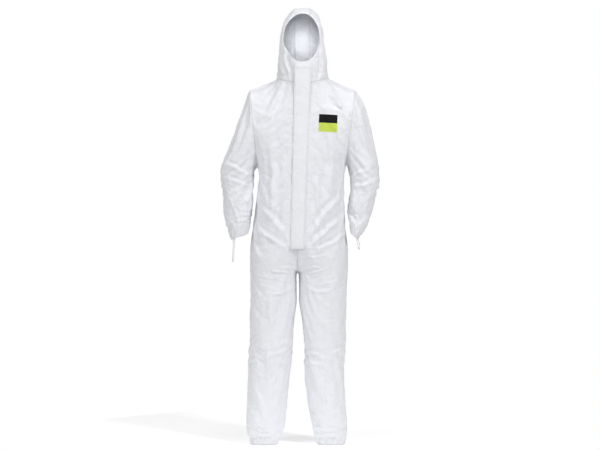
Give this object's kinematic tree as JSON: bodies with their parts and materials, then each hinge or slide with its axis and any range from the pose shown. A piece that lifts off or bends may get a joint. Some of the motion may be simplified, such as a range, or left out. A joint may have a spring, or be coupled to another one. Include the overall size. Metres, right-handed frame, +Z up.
{
  "type": "hooded protective coverall",
  "caption": "Disposable white hooded coverall with a front zip under a storm flap, elastic face, cuffs, waist and ankles, and finger loops.",
  "frame": {"origin": "middle of the neck base, where the suit hangs on the wearer's shoulders", "axes": "+Z up, the front faces -Y, +X is the wearer's left"},
  "size_m": [0.6443, 0.2643, 1.7495],
  "materials": {
    "suit_fabric": "matte",
    "gathered_hem": "matte",
    "zip_tape": "matte",
    "zip_plastic": "satin",
    "elastic_cord": "matte",
    "closing_tape": "satin",
    "label": "satin"
  },
  "bodies": {
    "root": {"front_panel_left": "suit_fabric", "front_panel_right": "suit_fabric", "back_panel_left": "suit_fabric", "back_panel_right": "suit_fabric", "crotch_gusset": "suit_fabric", "waist_elastic": "gathered_hem", "hood_neck_fabric": "suit_fabric", "zip_tape_left": "zip_tape", "zip_tape_right": "zip_tape", "zip_teeth_left": "zip_plastic", "zip_teeth_right": "zip_plastic", "zip_bottom_stop": "zip_plastic", "zip_top_stop_left": "zip_plastic", "zip_top_stop_right": "zip_plastic", "flap_adhesive_tape": "closing_tape", "chest_label": "label", "shoulder_fabric_left": "suit_fabric", "shoulder_fabric_right": "suit_fabric", "hip_fabric_left": "suit_fabric", "hip_fabric_right": "suit_fabric"},
    "hood": {"hood_panel_left": "suit_fabric", "hood_panel_right": "suit_fabric", "hood_panel_centre": "suit_fabric", "hood_face_elastic": "gathered_hem"},
    "flap": {"storm_flap": "suit_fabric"},
    "slider": {"zip_slider": "zip_plastic"},
    "pull": {"zip_pull_tab": "zip_plastic"},
    "upper_arm_left": {"sleeve_upper_left": "suit_fabric", "elbow_fabric_left": "suit_fabric"},
    "forearm_left": {"sleeve_forearm_left": "suit_fabric", "cuff_elastic_left": "gathered_hem", "finger_loop_left": "elastic_cord"},
    "thigh_left": {"leg_thigh_front_left": "suit_fabric", "leg_thigh_back_left": "suit_fabric", "knee_fabric_left": "suit_fabric"},
    "shin_left": {"leg_shin_front_left": "suit_fabric", "leg_shin_back_left": "suit_fabric", "ankle_elastic_left": "gathered_hem"},
    "upper_arm_right": {"sleeve_upper_right": "suit_fabric", "elbow_fabric_right": "suit_fabric"},
    "forearm_right": {"sleeve_forearm_right": "suit_fabric", "cuff_elastic_right": "gathered_hem", "finger_loop_right": "elastic_cord"},
    "thigh_right": {"leg_thigh_front_right": "suit_fabric", "leg_thigh_back_right": "suit_fabric", "knee_fabric_right": "suit_fabric"},
    "shin_right": {"leg_shin_front_right": "suit_fabric", "leg_shin_back_right": "suit_fabric", "ankle_elastic_right": "gathered_hem"}
  },
  "joints": [
    {"name": "hood_tip", "type": "hinge", "parent": "root", "child": "hood", "pos_m": [0.01, -0.112, 0.066], "axis": [-1, 0, 0], "range_deg": [0, 30], "deforming": ["hood_neck_fabric", "hood_face_elastic"]},
    {"name": "flap_open", "type": "hinge", "parent": "root", "child": "flap", "pos_m": [0.044, -0.1172, 0.068], "axis": [0.0353, 0.0109, 0.9993], "range_deg": [0, 150]},
    {"name": "zip_slide", "type": "slide", "parent": "root", "child": "slider", "axis": [-0.03, -0.0109, -0.9995], "range_m": [0, 0.69]},
    {"name": "pull_lift", "type": "hinge", "parent": "slider", "child": "pull", "pos_m": [0.0114, -0.1158, 0.046], "axis": [-1, 0, 0], "range_deg": [0, 4]},
    {"name": "shoulder_left", "type": "hinge", "parent": "root", "child": "upper_arm_left", "pos_m": [0.19, 0, -0.334], "axis": [0, -1, 0], "range_deg": [0, 45], "deforming": ["shoulder_fabric_left"]},
    {"name": "elbow_left", "type": "hinge", "parent": "upper_arm_left", "child": "forearm_left", "pos_m": [0.254, -0.005, -0.404], "axis": [-1, 0, 0], "range_deg": [0, 60], "deforming": ["elbow_fabric_left"]},
    {"name": "hip_left", "type": "hinge", "parent": "root", "child": "thigh_left", "pos_m": [0.092, 0, -0.827], "axis": [-1, 0, 0], "range_deg": [-12, 40], "deforming": ["hip_fabric_left"]},
    {"name": "knee_left", "type": "hinge", "parent": "thigh_left", "child": "shin_left", "pos_m": [0.1, 0, -1.075], "axis": [1, 0, 0], "range_deg": [0, 60], "deforming": ["knee_fabric_left"]},
    {"name": "shoulder_right", "type": "hinge", "parent": "root", "child": "upper_arm_right", "pos_m": [-0.1755, 0, -0.33], "axis": [0, 1, 0], "range_deg": [0, 45], "deforming": ["shoulder_fabric_right"]},
    {"name": "elbow_right", "type": "hinge", "parent": "upper_arm_right", "child": "forearm_right", "pos_m": [-0.249, -0.005, -0.404], "axis": [-1, 0, 0], "range_deg": [0, 60], "deforming": ["elbow_fabric_right"]},
    {"name": "hip_right", "type": "hinge", "parent": "root", "child": "thigh_right", "pos_m": [-0.106, 0, -0.827], "axis": [-1, 0, 0], "range_deg": [-12, 40], "deforming": ["hip_fabric_right"]},
    {"name": "knee_right", "type": "hinge", "parent": "thigh_right", "child": "shin_right", "pos_m": [-0.118, 0, -1.075], "axis": [1, 0, 0], "range_deg": [0, 60], "deforming": ["knee_fabric_right"]}
  ]
}
